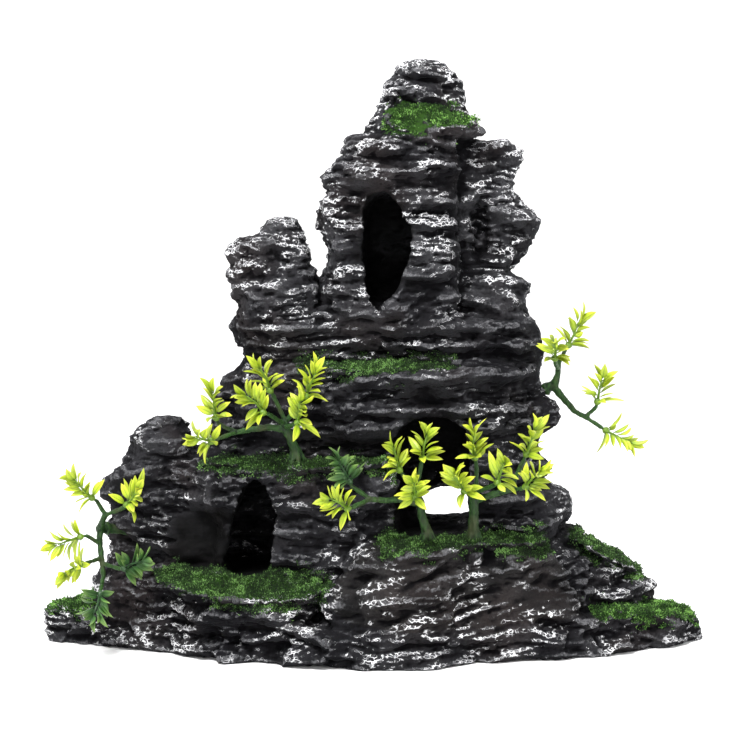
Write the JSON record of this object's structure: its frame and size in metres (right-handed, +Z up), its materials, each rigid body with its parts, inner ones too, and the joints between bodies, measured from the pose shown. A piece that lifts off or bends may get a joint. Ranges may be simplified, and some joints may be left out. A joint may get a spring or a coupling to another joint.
{
  "type": "resin cave ornament",
  "caption": "Layered rock mountain for an aquarium or pond, with three caves, moss beds and plug-in plastic plants.",
  "frame": {"origin": "on the flat underside of the base, below the middle of the mountain", "axes": "+Z up, +X to the right seen from the show side, and the show side with the cave mouths faces -Y"},
  "size_m": [0.2466, 0.0968, 0.213],
  "materials": {
    "rock": "cast polyresin, matt charcoal with dry-brushed pale edges",
    "boulder_stone": "cast polyresin, matt charcoal with fine curved strata",
    "moss": "flocked moss, dark green",
    "bright_moss": "flocked moss, bright green",
    "trunk": "moulded plastic, dark green bark",
    "leaf": "moulded plastic, yellow-green, greener towards the twig",
    "dark_leaf": "moulded plastic, mid green"
  },
  "bodies": {
    "rockwork": {"base_slab": "rock", "left_cave_rock": "rock", "center_rock": "rock", "front_boulder": "boulder_stone", "right_steps_rock": "rock", "middle_tier_rock": "rock", "upper_tier_rock": "rock", "left_spire_rock": "rock", "tower_rock": "rock", "tower_rear_column": "rock", "terrace_moss": "moss", "cave_floor_moss": "moss", "boulder_moss": "moss", "upper_ledge_moss": "moss", "summit_moss": "bright_moss", "left_end_moss": "moss", "right_shelf_moss": "bright_moss", "step_moss": "moss"},
    "terrace_tree": {"terrace_tree_trunk": "trunk", "terrace_tree_whorl_1": "leaf", "terrace_tree_whorl_2": "leaf", "terrace_tree_whorl_3": "leaf", "terrace_tree_whorl_4": "leaf", "terrace_tree_whorl_5": "leaf", "terrace_tree_whorl_6": "leaf"},
    "front_left_tree": {"front_left_tree_trunk": "trunk", "front_left_tree_whorl_1": "dark_leaf", "front_left_tree_whorl_2": "leaf", "front_left_tree_whorl_3": "leaf", "front_left_tree_whorl_4": "leaf", "front_left_tree_whorl_5": "leaf"},
    "front_right_tree": {"front_right_tree_trunk": "trunk", "front_right_tree_whorl_1": "leaf", "front_right_tree_whorl_2": "leaf", "front_right_tree_whorl_3": "leaf", "front_right_tree_whorl_4": "leaf", "front_right_tree_whorl_5": "leaf"},
    "left_vine": {"left_vine_trunk": "trunk", "left_vine_whorl_1": "leaf", "left_vine_whorl_2": "leaf", "left_vine_whorl_3": "leaf", "left_vine_whorl_4": "leaf", "left_vine_whorl_5": "dark_leaf", "left_vine_whorl_6": "dark_leaf"},
    "right_branch": {"right_branch_trunk": "trunk", "right_branch_whorl_1": "leaf", "right_branch_whorl_2": "leaf", "right_branch_whorl_3": "leaf", "right_branch_whorl_4": "leaf"}
  },
  "joints": [
    {"name": "terrace_tree_pull_out", "type": "slide", "parent": "rockwork", "child": "terrace_tree", "axis": [0, 0, 1], "range_m": [0, 0.012]},
    {"name": "front_left_tree_pull_out", "type": "slide", "parent": "rockwork", "child": "front_left_tree", "axis": [0, 0, 1], "range_m": [0, 0.012]},
    {"name": "front_right_tree_pull_out", "type": "slide", "parent": "rockwork", "child": "front_right_tree", "axis": [0, 0, 1], "range_m": [0, 0.012]},
    {"name": "left_vine_pull_out", "type": "slide", "parent": "rockwork", "child": "left_vine", "axis": [-0.93, -0.34, 0.14], "range_m": [0, 0.012]},
    {"name": "right_branch_pull_out", "type": "slide", "parent": "rockwork", "child": "right_branch", "axis": [0.9754, -0.1701, 0.1401], "range_m": [0, 0.012]}
  ]
}
